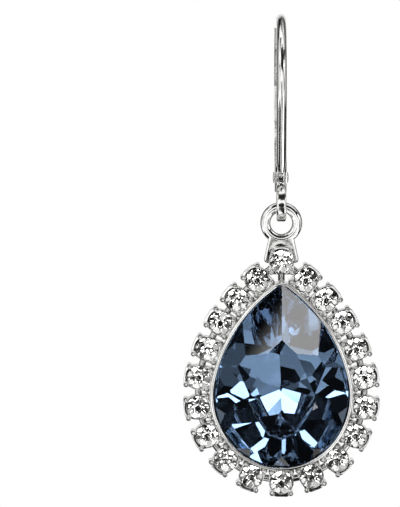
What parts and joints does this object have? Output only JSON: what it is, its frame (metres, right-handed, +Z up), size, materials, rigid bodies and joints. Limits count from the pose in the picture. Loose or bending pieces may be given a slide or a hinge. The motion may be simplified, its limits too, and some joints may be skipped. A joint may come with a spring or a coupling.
{
  "type": "teardrop earring",
  "caption": "Drop earring: hinged lever ear wire, and a hanging pear-cut blue crystal in a halo of small clear stones in square cups.",
  "frame": {"origin": "inner top of the ear wire's arc, where the earring hangs in the lobe", "axes": "+Z up, -Y toward the crystal's face, +X to the right when the face is seen"},
  "size_m": [0.0148, 0.0107, 0.0363],
  "materials": {
    "silver_plate": "polished silver plate",
    "blue_crystal": "faceted, foiled behind",
    "clear_crystal": "faceted, foiled behind"
  },
  "bodies": {
    "hook": {"ear_wire": "silver_plate", "lever_rivet": "silver_plate"},
    "lever": {"lever": "silver_plate"},
    "drop": {"setting": "silver_plate", "pear_crystal": "blue_crystal", "chaton_01": "clear_crystal", "chaton_02": "clear_crystal", "chaton_03": "clear_crystal", "chaton_04": "clear_crystal", "chaton_05": "clear_crystal", "chaton_06": "clear_crystal", "chaton_07": "clear_crystal", "chaton_08": "clear_crystal", "chaton_09": "clear_crystal", "chaton_10": "clear_crystal", "chaton_11": "clear_crystal", "chaton_12": "clear_crystal", "chaton_13": "clear_crystal", "chaton_14": "clear_crystal", "chaton_15": "clear_crystal", "chaton_16": "clear_crystal", "chaton_17": "clear_crystal", "chaton_18": "clear_crystal", "chaton_19": "clear_crystal", "chaton_20": "clear_crystal"}
  },
  "joints": [
    {"name": "lever_hinge", "type": "hinge", "parent": "hook", "child": "lever", "pos_m": [0, 0.0016, -0.01134], "axis": [-1, 0, 0], "range_deg": [0, 65]},
    {"name": "drop_swing", "type": "hinge", "parent": "hook", "child": "drop", "pos_m": [0, -0.00163, -0.01361], "axis": [1, 0, 0], "range_deg": [-60, 60]}
  ]
}
